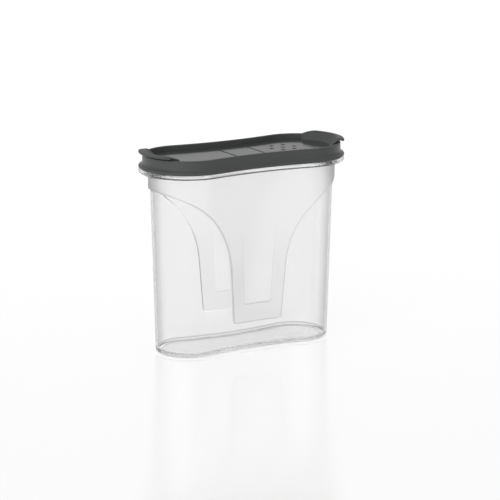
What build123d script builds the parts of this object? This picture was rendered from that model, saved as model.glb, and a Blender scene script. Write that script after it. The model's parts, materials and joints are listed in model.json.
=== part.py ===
from build123d import *
import math
import os

# Spice jar with a two-flap lid. Millimetres, +Z up, origin at the centre of the jar's underside,
# X along the length, Y across it. The pour flap is on the -X side, the sprinkle flap on the +X side.

# Rim of the lid: two round lobes joined by a waist. Most outlines of the lid are offsets of it.
rim_half_length = 58.4
rim_lobe_radius = 23.9
rim_waist_inset = 2.9

# Foot of the jar, by how far it lies inside the rim, and the draft of its walls
foot_end_inset = 6.8
foot_lobe_inset = 5.9
foot_waist_inset = 3.2
wall_draft = 1.6

# Jar: heights above the surface it stands on, walls and roundings
floor_thickness = 2.2
flange_bottom = 99.1
flange_thickness = 2.2
flange_round = 0.8
window_wall = 1.3
foot_round = 1.6
foot_ring = 3.5
foot_recess = 0.6
neck_inset = 2.7
neck_wall = 1.5
neck_shoulder = 0.3
neck_end_gap = 0.3

# T-shaped grip panel seen from the front: half widths and heights of its edge
panel_step = 1.0
stem_bottom = 15.4
stem_top = 46.0
stem_half_bottom = 15.1
stem_half_top = 17.3
stem_corner = 2.2
shoulder_half = 38.0
shoulder_drop = 9.0
arm_end_inset = 1.4
band_height = 8.1

# Shallow inlay in the stem of the T
inlay_depth = 0.4
inlay_bottom = 25.9
inlay_top_margin = 12.1
inlay_half_bottom = 7.9
inlay_half_top = 11.0
inlay_corner = 1.0

# Lid frame
seat_gap = 0.1
wall_height = 7.7
rim_wall = 1.6
rim_round = 0.5
wall_straight = 3.6
lip_outset = 2.1
lip_radius = 1.0
neck_gap = 0.3
deck_thickness = 1.2
seal_wall = 1.2
seal_end_gap = 0.7
beam_margin = 2.6
beam_wall = 0.95
mouth_inset = 8.5
mouth_margin = 1.3
mouth_corner = 3.0

# Flaps and their hinges
flap_drop = 2.6
flap_thickness = 1.2
flap_deck_gap = 0.3
flap_side_gap = 0.4
groove_middle = 8.9
groove_width = 0.8
barrel_radius = 1.3
barrel_end_inset = 6.4
barrel_gap = 0.3
barrel_corner = 0.7
stub_radius = 0.75
stub_length = 3.6
stub_gap = 0.05
plug_gap = 0.5
plug_wall = 1.2
plug_reach = 0.6

# Bridge between the flaps, with an ear over each stub of the hinges
bridge_side_gap = 0.1
ear_margin = 1.5
ear_gap = 0.3
peg_radius = 2.0
peg_offset = 9.0
peg_length = 1.5
peg_gap = 0.05
peg_end_gap = 0.2

# Lifting tab at the end of each flap: outsets from the rim's outline and heights above the rim
tab_half_angle = 51.0
tab_end_round = 4.5
tab_rim_gap = 0.7
tab_crest_inset = 1.5
tab_crest_height = 2.15
tab_lip_outset = 2.05
tab_lip_height = 1.6
tab_tip_height = 0.35
tab_tip_width = 0.8
tab_hollow_height = 1.1
cove_width = 4.3
cove_sag = 0.5

# Sprinkle side
sprinkle_middle = 25.6
sprinkle_ring = 7.1
ring_count = 6
hole_radius = 1.5
pin_radius = 1.05
dimple_radius = 1.2
dimple_depth = 0.4

# Outlines that follow from the sizes above
rim_half_waist = rim_lobe_radius - rim_waist_inset
lobe_x = rim_half_length - rim_lobe_radius
foot_half_length = rim_half_length - foot_end_inset
foot_lobe_radius = rim_lobe_radius - foot_lobe_inset
foot_half_waist = foot_lobe_radius - foot_waist_inset
flap_inset = rim_wall + flap_side_gap
skirt_inset = neck_inset - neck_gap
seal_inset = neck_inset + neck_wall + neck_gap

# Heights that follow
flange_top = flange_bottom + flange_thickness
shoulder_z = flange_bottom + neck_shoulder
arm_height = flange_bottom - band_height
shoulder_height = arm_height - shoulder_drop
inlay_top = flange_bottom - inlay_top_margin
lid_bottom = flange_top + seat_gap
rim_top = lid_bottom + wall_height
flap_top = rim_top - flap_drop
flap_bottom = flap_top - flap_thickness
deck_top = flap_bottom - flap_deck_gap
deck_bottom = deck_top - deck_thickness
neck_top = deck_bottom - neck_end_gap
seal_bottom = shoulder_z + seal_end_gap

# Places along the hinges that follow
arm_half = rim_half_length - arm_end_inset
bridge_half = groove_middle - groove_width / 2
hinge_x = groove_middle + groove_width / 2 + barrel_radius
hinge_z = flap_top - barrel_radius
trough_radius = math.sqrt(2) * (barrel_radius - barrel_corner) + barrel_corner + barrel_gap
beam_half = hinge_x + beam_margin
beam_bottom = hinge_z - trough_radius - beam_wall
mouth_start = beam_half + mouth_margin
barrel_half = rim_half_waist - barrel_end_inset
stub_end = barrel_half + stub_length
ear_start = barrel_half + ear_gap
ear_end_x = hinge_x + ear_margin
notch_end_x = hinge_x + math.hypot(ear_margin, barrel_radius) + ear_gap


def lobed_arcs(half_length, lobe_radius, half_waist):
    """Draw an outline of four tangent arcs: two round lobes and two hollow waist arcs."""
    lobe_centre = half_length - lobe_radius
    waist_rise = lobe_centre**2 + half_waist**2 - lobe_radius**2
    waist_centre = half_waist + waist_rise / (2 * (lobe_radius - half_waist))
    reach = math.hypot(lobe_centre, waist_centre)
    join_x = lobe_centre * (1 - lobe_radius / reach)
    join_y = waist_centre * lobe_radius / reach
    ThreePointArc((join_x, -join_y), (half_length, 0), (join_x, join_y))
    ThreePointArc((join_x, join_y), (0, half_waist), (-join_x, join_y))
    ThreePointArc((-join_x, join_y), (-half_length, 0), (-join_x, -join_y))
    ThreePointArc((-join_x, -join_y), (0, -half_waist), (join_x, -join_y))


def rim_face(inset):
    """Face inside the outline of the rim, moved inwards by inset."""
    with BuildSketch() as face:
        with BuildLine():
            lobed_arcs(rim_half_length - inset, rim_lobe_radius - inset, rim_half_waist - inset)
        make_face()
    return face.sketch


def wall_face(inset, height):
    """Face inside the jar's drafted wall at a height, moved inwards by inset."""
    growth = height * math.tan(math.radians(wall_draft)) - inset
    with BuildSketch() as face:
        with BuildLine():
            lobed_arcs(foot_half_length + growth, foot_lobe_radius + growth, foot_half_waist + growth)
        make_face()
    return face.sketch


def mouth_face(inset, corner):
    """Face of the pour mouth on the -X side, moved inwards by inset, with two rounded corners."""
    with BuildSketch() as face:
        add(rim_face(mouth_inset + inset))
        with Locations((-mouth_start - inset, 0)):
            half_plane = (rim_half_length, 2 * rim_half_length)
            Rectangle(*half_plane, align=(Align.MAX, Align.CENTER), mode=Mode.INTERSECT)
        fillet(vertices().group_by(Axis.X)[-1], radius=corner)
    return face.sketch


# Jar. The raised part of its wall is a T on the front and on the back, with the band above it.
with BuildPart() as raised_wall:
    with BuildSketch():
        add(wall_face(-panel_step, 0))
    extrude(amount=flange_bottom, taper=-wall_draft)
    with BuildSketch(Plane.XZ):
        with BuildLine():
            stem_side = Line((stem_half_bottom, stem_bottom), (stem_half_top, stem_top))
            shoulder = TangentArc(stem_side @ 1, (shoulder_half, shoulder_height), tangent=stem_side % 1)
            arm = TangentArc(shoulder @ 1, (arm_half, arm_height), tangent=shoulder % 1)
            Polyline(arm @ 1, (arm_half, rim_top), (0, rim_top), (0, stem_bottom), stem_side @ 0)
        make_face()
        fillet(vertices().group_by(Axis.Y)[0].sort_by(Axis.X)[-1:], radius=stem_corner)
        mirror(about=Plane.YZ)
    extrude(amount=rim_half_length, both=True, mode=Mode.INTERSECT)

with BuildPart() as stem_inlay:
    with BuildSketch():
        add(wall_face(-panel_step, 0))
    extrude(amount=flange_bottom, taper=-wall_draft)
    with BuildSketch():
        add(wall_face(inlay_depth - panel_step, 0))
    extrude(amount=flange_bottom, taper=-wall_draft, mode=Mode.SUBTRACT)
    with BuildSketch(Plane.XZ):
        with BuildLine():
            inlay_side = Line((inlay_half_bottom, inlay_bottom), (inlay_half_top, inlay_top))
            Polyline(inlay_side @ 1, (0, inlay_top), (0, inlay_bottom), inlay_side @ 0)
        make_face()
        fillet(vertices().group_by(Axis.X)[-1], radius=inlay_corner)
        fillet(vertices().filter_by(lambda corner: corner.X == inlay_half_bottom), radius=inlay_corner)
        mirror(about=Plane.YZ)
    extrude(amount=rim_half_length, both=True, mode=Mode.INTERSECT)

with BuildPart() as jar_body:
    with BuildSketch():
        add(wall_face(0, 0))
    extrude(amount=flange_bottom, taper=-wall_draft)
    fillet(faces().sort_by(Axis.Z)[0].edges(), radius=foot_round)
    add(raised_wall.part)
    add(stem_inlay.part, mode=Mode.SUBTRACT)
    with BuildSketch(Plane.XY.offset(flange_bottom)):
        add(rim_face(-lip_outset))
    extrude(amount=flange_thickness)
    flange_edges = edges().filter_by(lambda edge: edge.bounding_box().max.X > rim_half_length)
    fillet(flange_edges, radius=flange_round)
    with BuildSketch(Plane.XY.offset(flange_top)):
        add(rim_face(neck_inset))
    extrude(amount=neck_top - flange_top)
    with BuildSketch(Plane.XY.offset(floor_thickness)):
        add(wall_face(window_wall, floor_thickness))
    extrude(amount=shoulder_z - floor_thickness, taper=-wall_draft, mode=Mode.SUBTRACT)
    with BuildSketch(Plane.XY.offset(shoulder_z)):
        add(rim_face(neck_inset + neck_wall))
    extrude(amount=neck_top - shoulder_z, mode=Mode.SUBTRACT)
    with BuildSketch():
        add(wall_face(foot_ring, 0))
    extrude(amount=foot_recess, mode=Mode.SUBTRACT)

# Lid frame: one wall carried round the rim's outline, a deck across it and a seal in the jar's neck
with BuildLine() as rim_path:
    lobed_arcs(rim_half_length, rim_lobe_radius, rim_half_waist)

path_start = rim_path.line @ 0
path_heading = rim_path.line % 0
wall_plane = Plane(path_start, x_dir=path_heading.cross(Vector(0, 0, 1)), z_dir=-path_heading)

with BuildPart() as lid_frame:
    with BuildSketch(wall_plane):
        with BuildLine():
            lip_middle = (lip_outset - lip_radius, lid_bottom + lip_radius)
            flare_top = rim_top - wall_straight
            flare_rise = flare_top - lip_middle[1]
            flare_radius = (flare_rise**2 + lip_middle[0] ** 2 - lip_radius**2) / (2 * lip_outset)
            share = lip_radius / (flare_radius + lip_radius)
            flare_end = (
                lip_middle[0] + share * (flare_radius - lip_middle[0]),
                lip_middle[1] + share * flare_rise,
            )
            flare = TangentArc((0, flare_top), flare_end, tangent=(0, -1))
            lip = TangentArc(flare @ 1, (lip_middle[0], lid_bottom), tangent=flare % 1)
            Polyline(
                lip @ 1,
                (-skirt_inset, lid_bottom),
                (-skirt_inset, deck_top),
                (-rim_wall, deck_top),
                (-rim_wall, rim_top),
                (0, rim_top),
                flare @ 0,
            )
        make_face()
        fillet(vertices().group_by(Axis.Y)[-1], radius=rim_round)
    sweep(path=rim_path.line)
    with BuildSketch(Plane.XY.offset(deck_bottom)):
        add(rim_face(rim_wall))
    extrude(amount=deck_thickness)
    with BuildSketch(Plane.XY.offset(seal_bottom)):
        add(rim_face(seal_inset))
        add(rim_face(seal_inset + seal_wall), mode=Mode.SUBTRACT)
    extrude(amount=deck_bottom - seal_bottom)
    with BuildSketch(Plane.XY.offset(beam_bottom)):
        add(rim_face(seal_inset + seal_wall / 2))
        Rectangle(2 * beam_half, 2 * rim_half_waist, mode=Mode.INTERSECT)
    extrude(amount=deck_bottom - beam_bottom)
    with BuildSketch(Plane.XY.offset(deck_bottom)):
        add(mouth_face(0, mouth_corner))
    extrude(amount=deck_thickness, mode=Mode.SUBTRACT)
    with BuildSketch(Plane.XZ):
        with Locations((hinge_x, hinge_z), (-hinge_x, hinge_z)):
            Circle(trough_radius)
    extrude(amount=ear_start, both=True, mode=Mode.SUBTRACT)
    with BuildSketch(Plane.XZ):
        with Locations((hinge_x, hinge_z), (-hinge_x, hinge_z)):
            Circle(stub_radius + stub_gap)
    extrude(amount=stub_end + ear_gap, both=True, mode=Mode.SUBTRACT)
    with BuildSketch(Plane.XY.offset(deck_top)):
        with Locations((0, peg_offset), (0, -peg_offset)):
            Circle(peg_radius + peg_gap)
    extrude(amount=-(peg_length + peg_end_gap), mode=Mode.SUBTRACT)
    with BuildSketch(Plane.XY.offset(deck_bottom)):
        with Locations((sprinkle_middle, 0)):
            Circle(hole_radius)
            with PolarLocations(sprinkle_ring, ring_count):
                Circle(hole_radius)
    extrude(amount=deck_thickness, mode=Mode.SUBTRACT)

# Bridge: a strip between the grooves, ears that hold the hinge stubs down, and two press-in pegs
with BuildPart() as hinge_bridge:
    with BuildSketch(Plane.XY.offset(deck_top)):
        Rectangle(2 * bridge_half, 2 * rim_half_waist)
        ear_length = rim_half_waist - ear_start
        with Locations((0, ear_start + ear_length / 2), (0, -ear_start - ear_length / 2)):
            Rectangle(2 * ear_end_x, ear_length)
        add(rim_face(rim_wall + bridge_side_gap), mode=Mode.INTERSECT)
    extrude(amount=flap_top - deck_top)
    with BuildSketch(Plane.XZ):
        with Locations((hinge_x, hinge_z), (-hinge_x, hinge_z)):
            Circle(stub_radius + stub_gap)
    extrude(amount=stub_end + ear_gap, both=True, mode=Mode.SUBTRACT)
    with BuildSketch(Plane.XY.offset(deck_top)):
        with Locations((0, peg_offset), (0, -peg_offset)):
            Circle(peg_radius)
    extrude(amount=-peg_length)

# Lifting tab of the +X flap: its section is carried round the middle of the lobe
start_angle = math.radians(tab_half_angle)
tab_plane = Plane(
    (lobe_x, 0, rim_top),
    x_dir=(math.cos(start_angle), -math.sin(start_angle), 0),
    z_dir=(-math.sin(start_angle), -math.cos(start_angle), 0),
)
with BuildPart() as lifting_tab:
    with BuildSketch(tab_plane):
        with BuildLine():
            crest = (rim_lobe_radius - tab_crest_inset, tab_crest_height)
            cove_foot = (crest[0] - cove_width, -flap_drop)
            cove_depth = crest[1] - cove_foot[1]
            cove_chord = math.hypot(cove_width, cove_depth)
            cove_middle = (
                crest[0] - cove_width / 2 + cove_sag * cove_depth / cove_chord,
                crest[1] - cove_depth / 2 - cove_sag * cove_width / cove_chord,
            )
            ThreePointArc(cove_foot, cove_middle, crest)
            Polyline(
                crest,
                (rim_lobe_radius + tab_lip_outset, tab_lip_height),
                (rim_lobe_radius + tab_lip_outset, tab_tip_height),
                (rim_lobe_radius + tab_lip_outset - tab_tip_width, tab_tip_height),
                (rim_lobe_radius, tab_hollow_height),
                (rim_lobe_radius - rim_wall, tab_rim_gap),
                (rim_lobe_radius - flap_inset, 0),
                (rim_lobe_radius - flap_inset, -flap_drop - flap_thickness),
                (cove_foot[0], -flap_drop - flap_thickness),
                cove_foot,
            )
        make_face()
    revolve(axis=Axis((lobe_x, 0, 0), (0, 0, 1)), revolution_arc=2 * tab_half_angle)
    with BuildSketch(Plane.YZ):
        tab_width = 2 * (rim_lobe_radius + tab_lip_outset / 2) * math.sin(start_angle)
        tab_depth = 2 * (flap_drop + tab_crest_height)
        with Locations((0, rim_top + tab_crest_height)):
            Rectangle(tab_width, tab_depth, align=(Align.CENTER, Align.MAX))
        fillet(vertices().group_by(Axis.Y)[-1], radius=tab_end_round)
    extrude(amount=rim_half_length + 2 * lip_outset, mode=Mode.INTERSECT)

# What both flaps share, made for the +X side: plate, hinge barrel with its stubs, and lifting tab
with BuildPart() as flap_blank:
    with BuildSketch(Plane.XY.offset(flap_bottom)):
        add(rim_face(flap_inset))
        with Locations((hinge_x, 0)):
            half_plane = (rim_half_length, 2 * rim_half_length)
            Rectangle(*half_plane, align=(Align.MIN, Align.CENTER), mode=Mode.INTERSECT)
        notch_length = rim_half_waist - ear_start + ear_gap
        notch_middle = rim_half_waist - notch_length / 2
        with Locations((0, notch_middle), (0, -notch_middle)):
            Rectangle(2 * notch_end_x, notch_length, mode=Mode.SUBTRACT)
    extrude(amount=flap_thickness)
    with BuildSketch(Plane.XZ):
        with Locations((hinge_x, hinge_z)):
            Circle(barrel_radius)
            Rectangle(barrel_radius, barrel_radius, align=(Align.MAX, Align.MIN))
        fillet(vertices().group_by(Axis.Y)[-1].sort_by(Axis.X)[:1], radius=barrel_corner)
    extrude(amount=barrel_half, both=True)
    with BuildSketch(Plane.XZ):
        with Locations((hinge_x, hinge_z)):
            Circle(stub_radius)
    extrude(amount=stub_end, both=True)
    add(lifting_tab.part)

with BuildPart() as pour_flap:
    add(mirror(flap_blank.part, about=Plane.YZ, mode=Mode.PRIVATE))
    with BuildSketch(Plane.XY.offset(flap_bottom)):
        plug_hollow = plug_gap + plug_wall
        add(mouth_face(plug_gap, mouth_corner - plug_gap))
        add(mouth_face(plug_hollow, mouth_corner - plug_hollow), mode=Mode.SUBTRACT)
    extrude(amount=-(flap_deck_gap + deck_thickness + plug_reach))

with BuildPart() as sprinkle_flap:
    add(flap_blank.part)
    with BuildSketch(Plane.XY.offset(flap_bottom)):
        with Locations((sprinkle_middle, 0)):
            Circle(pin_radius)
            with PolarLocations(sprinkle_ring, ring_count):
                Circle(pin_radius)
    extrude(amount=-(flap_deck_gap + deck_thickness))
    with BuildSketch(Plane.XY.offset(flap_top)):
        with Locations((sprinkle_middle, 0)):
            Circle(dimple_radius)
            with PolarLocations(sprinkle_ring, ring_count):
                Circle(dimple_radius)
    extrude(amount=-dimple_depth, mode=Mode.SUBTRACT)

jar_body.part.label = "jar_body"
lid_frame.part.label = "lid_frame"
hinge_bridge.part.label = "hinge_bridge"
pour_flap.part.label = "pour_flap"
sprinkle_flap.part.label = "sprinkle_flap"

os.makedirs("parts", exist_ok=True)
export_step(jar_body.part, "parts/jar_body.step")
export_step(lid_frame.part, "parts/lid_frame.step")
export_step(hinge_bridge.part, "parts/hinge_bridge.step")
export_step(pour_flap.part, "parts/pour_flap.step")
export_step(sprinkle_flap.part, "parts/sprinkle_flap.step")
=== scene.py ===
"""Looks of a slim spice jar with a two-flap lid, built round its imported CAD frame.

Every shape is worked out in millimetres with numpy and goes into Blender in metres, in the frame's
own axes: X along the jar, the pour flap on its -X side and the sprinkle flap on its +X side, Z up.
"""

import json
import logging
import math
from dataclasses import dataclass, field
from enum import Enum
from functools import cached_property

import bpy
import numpy as np
from mathutils import Matrix, Vector
from mathutils.geometry import delaunay_2d_cdt

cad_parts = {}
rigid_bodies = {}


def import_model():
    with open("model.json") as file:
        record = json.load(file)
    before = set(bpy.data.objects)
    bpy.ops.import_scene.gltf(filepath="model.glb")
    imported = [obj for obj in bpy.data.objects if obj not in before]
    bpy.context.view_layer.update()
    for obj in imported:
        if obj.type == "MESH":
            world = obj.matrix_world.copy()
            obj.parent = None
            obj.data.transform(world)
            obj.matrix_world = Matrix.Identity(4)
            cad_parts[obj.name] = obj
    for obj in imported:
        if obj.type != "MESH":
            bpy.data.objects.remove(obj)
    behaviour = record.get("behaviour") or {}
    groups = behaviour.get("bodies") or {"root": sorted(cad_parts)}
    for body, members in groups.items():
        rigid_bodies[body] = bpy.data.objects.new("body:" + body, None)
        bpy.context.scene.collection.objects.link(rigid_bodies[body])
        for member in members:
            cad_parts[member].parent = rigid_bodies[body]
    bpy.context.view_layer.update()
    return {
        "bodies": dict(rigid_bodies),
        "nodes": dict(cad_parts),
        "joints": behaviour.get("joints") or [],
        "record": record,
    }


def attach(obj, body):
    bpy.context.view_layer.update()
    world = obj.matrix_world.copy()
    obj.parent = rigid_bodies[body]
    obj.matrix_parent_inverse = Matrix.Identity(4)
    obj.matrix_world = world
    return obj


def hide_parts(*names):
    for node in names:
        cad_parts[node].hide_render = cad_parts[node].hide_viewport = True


LOG = logging.getLogger("spice_jar")
MM = 0.001
MERGE_STEP = 1e-4
SMOOTH_ANGLE = math.radians(32)
FLAT_WEIGHT = 80
# Steps on each half lobe and half waist of an outline, for what shows most and what shows least
FINE_STEPS = (56, 36)
COARSE_STEPS = (32, 24)
ROD_STEPS = 48
ROD_CHAMFER = 0.15
NET_TOLERANCE = 1e-7
# Points of an outline nearer than this to a corner cut into it are left out
CUT_CLEAR = 0.8


class Body(Enum):
    """Moving bodies of the frame."""

    JAR = "jar"
    LID = "lid"
    POUR_FLAP = "pour_flap"
    SPRINKLE_FLAP = "sprinkle_flap"


class Slot(Enum):
    """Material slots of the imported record."""

    CLEAR = "clear_plastic"
    DARK = "dark_plastic"


class Joining(Enum):
    """Ways to combine two closed shells."""

    UNION = "UNION"
    CUT = "DIFFERENCE"
    COMMON = "INTERSECT"


class End(Enum):
    """The two ends of the jar, each with its direction along X."""

    POUR = -1
    SPRINKLE = 1


def directions(angle: np.ndarray) -> np.ndarray:
    """Give the unit direction (cosine, sine) at each angle in radians."""
    return np.stack([np.cos(angle), np.sin(angle)], axis=-1)


def quarter_round(
    centre: tuple[float, float], radius: float, start: float, stop: float, steps: int = 4
) -> np.ndarray:
    """Work out points on an arc: centre plus radius times (cosine, sine) of the angle.

    Args:
        centre: middle of the arc, across and up.
        radius: radius of the arc.
        start: first angle in degrees.
        stop: last angle in degrees.
        steps: number of chords.

    Returns:
        Points of shape (steps + 1, 2).
    """
    return np.asarray(centre) + radius * directions(np.radians(np.linspace(start, stop, steps + 1)))


def fillet(across: float, up: float, radius: float, start: float, stop: float, steps: int = 4) -> np.ndarray:
    """Round the corner between an upright and a level face by an arc that touches both.

    Args:
        across: place of the upright face.
        up: height of the level face.
        radius: radius of the arc, below 0 for one whose angles are taken from its far side.
        start: first angle in degrees.
        stop: last angle in degrees, a quarter turn away.
        steps: number of chords.

    Returns:
        Points of shape (steps + 1, 2).
    """
    middle = math.radians((start + stop) / 2)
    centre_across = across - math.copysign(radius, radius * math.cos(middle))
    centre_up = up - math.copysign(radius, radius * math.sin(middle))
    return quarter_round((centre_across, centre_up), radius, start, stop, steps)


def circle(centre: tuple[float, float], radius: float, steps: int = 32) -> np.ndarray:
    """Give a round outline, anticlockwise.

    Args:
        centre: its middle.
        radius: its radius.
        steps: number of points.

    Returns:
        Points of shape (steps, 2).
    """
    return np.asarray(centre) + radius * directions(np.linspace(0, 2 * math.pi, steps, endpoint=False))


def tangent_arc(start: np.ndarray, heading: np.ndarray, end: np.ndarray, steps: int) -> np.ndarray:
    """Work out an arc that leaves start along heading and ends at end.

    The centre lies square to the heading, at half the chord squared over the chord's part that way.

    Args:
        start: first point.
        heading: unit direction at the start.
        end: last point.
        steps: number of chords.

    Returns:
        Points of shape (steps + 1, 2).
    """
    side = np.array([-heading[1], heading[0]])
    chord = end - start
    radius = chord @ chord / (2 * chord @ side)
    centre = start + radius * side
    first = math.atan2(*(start - centre)[::-1])
    turn = 2 * math.atan2(chord @ side, chord @ heading)
    return centre + abs(radius) * directions(first + turn * np.linspace(0, 1, steps + 1))


def rounded_corners(points: np.ndarray, radii: list[float], steps: int = 4) -> np.ndarray:
    """Round the corners of a closed polygon, each by an arc that touches both of its sides.

    Args:
        points: corners in order, shape (count, 2).
        radii: radius for each corner, 0 for one that stays sharp.
        steps: number of chords on each arc.

    Returns:
        The outline's points in order.
    """
    rows = []
    for corner, before, after, radius in zip(points, np.roll(points, 1, 0), np.roll(points, -1, 0), radii):
        if radius == 0:
            rows.append(corner[None])
            continue
        back = (before - corner) / np.linalg.norm(before - corner)
        ahead = (after - corner) / np.linalg.norm(after - corner)
        half = math.acos(np.clip(back @ ahead, -1, 1)) / 2
        start = corner + back * radius / math.tan(half)
        heading = -back
        rows.append(tangent_arc(start, heading, corner + ahead * radius / math.tan(half), steps))
    return np.concatenate(rows)


def inside(points: np.ndarray, polygon: np.ndarray) -> np.ndarray:
    """Tell which points lie in a polygon, by counting the sides that a level ray from each one crosses.

    Args:
        points: places to test, shape (count, 2).
        polygon: closed outline, shape (sides, 2).

    Returns:
        One truth value for each point.
    """
    a = polygon[None]
    b = np.roll(polygon, -1, 0)[None]
    p = points[:, None]
    spans = (a[..., 1] > p[..., 1]) != (b[..., 1] > p[..., 1])
    rise = np.where(spans, b[..., 1] - a[..., 1], 1.0)
    crossing = a[..., 0] + (p[..., 1] - a[..., 1]) * (b[..., 0] - a[..., 0]) / rise
    return (np.sum(spans & (p[..., 0] < crossing), axis=1) % 2).astype(bool)


def moved_in(loop: np.ndarray, distance: float) -> np.ndarray:
    """Move a closed anticlockwise outline inwards, each corner along the bisector of its two sides.

    Args:
        loop: points in order, shape (count, 2).
        distance: how far inwards each side moves.

    Returns:
        The moved outline, with as many points.
    """
    after = np.roll(loop, -1, 0) - loop
    after /= np.linalg.norm(after, axis=1, keepdims=True)
    before = np.roll(after, 1, 0)
    left = np.column_stack([-before[:, 1] - after[:, 1], before[:, 0] + after[:, 0]])
    shrink = 1 + np.sum(before * after, axis=1, keepdims=True)
    return loop + distance * left / shrink


@dataclass(frozen=True)
class LobedOutline:
    """Outline of four tangent arcs: a round lobe at each end and a hollow waist arc on each side.

    A point is the middle of its arc plus or minus its radius times the outward normal, so moving
    outwards adds the same length along that normal everywhere.
    """

    half_length: float
    lobe_radius: float
    half_waist: float
    lobe_steps: int = 48
    waist_steps: int = 30

    @cached_property
    def lobe_centre(self) -> float:
        """Distance of each lobe's middle from the jar's."""
        return self.half_length - self.lobe_radius

    @cached_property
    def waist_centre(self) -> float:
        """Distance of each waist arc's middle from the jar's, outside the outline."""
        rise = self.lobe_centre**2 + self.half_waist**2 - self.lobe_radius**2
        return self.half_waist + rise / (2 * (self.lobe_radius - self.half_waist))

    @cached_property
    def waist_radius(self) -> float:
        """Radius of the waist arcs."""
        return self.waist_centre - self.half_waist

    @cached_property
    def waist_turn(self) -> float:
        """Angle of half a waist arc."""
        return math.atan2(self.lobe_centre, self.waist_centre)

    @cached_property
    def lobe_turn(self) -> float:
        """Angle of half a lobe arc."""
        return math.pi / 2 + self.waist_turn

    @cached_property
    def lobe_run(self) -> float:
        """Length of half a lobe arc."""
        return self.lobe_radius * self.lobe_turn

    @cached_property
    def quarter_run(self) -> float:
        """Length of a quarter of the outline, from the +X tip to the waist's middle."""
        return self.lobe_run + self.waist_radius * self.waist_turn

    @cached_property
    def ring(self) -> tuple[np.ndarray, np.ndarray]:
        """Points and outward normals anticlockwise, from where the +X lobe leaves the -Y waist."""
        lobe = np.linspace(-1, 1, 2 * self.lobe_steps + 1) * self.lobe_turn
        waist = np.linspace(1, -1, 2 * self.waist_steps + 1)[1:-1] * self.waist_turn
        lobe_normals = directions(lobe)
        waist_normals = np.column_stack([-np.sin(waist), np.cos(waist)])
        lobe_points = (self.lobe_centre, 0) + self.lobe_radius * lobe_normals
        waist_points = (0, self.waist_centre) - self.waist_radius * waist_normals
        half_points = np.concatenate([lobe_points, waist_points])
        half_normals = np.concatenate([lobe_normals, waist_normals])
        return np.concatenate([half_points, -half_points]), np.concatenate([half_normals, -half_normals])

    @cached_property
    def quarter_places(self) -> np.ndarray:
        """Places of the ring's points on a quarter, as lengths from the +X tip."""
        lobe = np.linspace(0, self.lobe_run, self.lobe_steps + 1)
        waist = np.linspace(self.lobe_run, self.quarter_run, self.waist_steps + 1)
        return np.concatenate([lobe, waist[1:]])

    def loop(self, outset: float) -> np.ndarray:
        """Give the outline moved outwards, shape (count, 2)."""
        points, normals = self.ring
        return points + outset * normals

    def carry(self, profile: np.ndarray) -> np.ndarray:
        """Carry a profile round the outline: outset along the normal, height straight up.

        Args:
            profile: outsets and heights, shape (rows, 2).

        Returns:
            A grid of shape (rows, count, 3).
        """
        points, normals = self.ring
        flat = points[None] + profile[:, 0, None, None] * normals[None]
        height = np.broadcast_to(profile[:, 1, None, None], (*flat.shape[:2], 1))
        return np.concatenate([flat, height], axis=2)

    def at(self, place: np.ndarray) -> tuple[np.ndarray, np.ndarray]:
        """Give the points and outward normals at lengths from the +X tip, on the +X +Y quarter."""
        on_lobe = place <= self.lobe_run
        waist = self.lobe_turn - (place - self.lobe_run) / self.waist_radius
        angle = np.where(on_lobe, place / self.lobe_radius, waist)
        normals = directions(angle)
        lobe_points = (self.lobe_centre, 0) + self.lobe_radius * normals
        waist_points = (0, self.waist_centre) - self.waist_radius * normals
        return np.where(on_lobe[:, None], lobe_points, waist_points), normals

    def place_of(self, x: np.ndarray, outset: np.ndarray) -> np.ndarray:
        """Find the length from the +X tip at which the outline, moved out by outset, has a given X."""
        join = self.lobe_centre + (self.lobe_radius + outset) * math.cos(self.lobe_turn)
        lobe = np.arccos(np.clip((x - self.lobe_centre) / (self.lobe_radius + outset), -1, 1))
        waist = np.arcsin(np.clip(x / (self.waist_radius - outset), -1, 1))
        waist_place = self.lobe_run + self.waist_radius * (self.waist_turn - waist)
        return np.where(x >= join, self.lobe_radius * lobe, waist_place)


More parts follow.
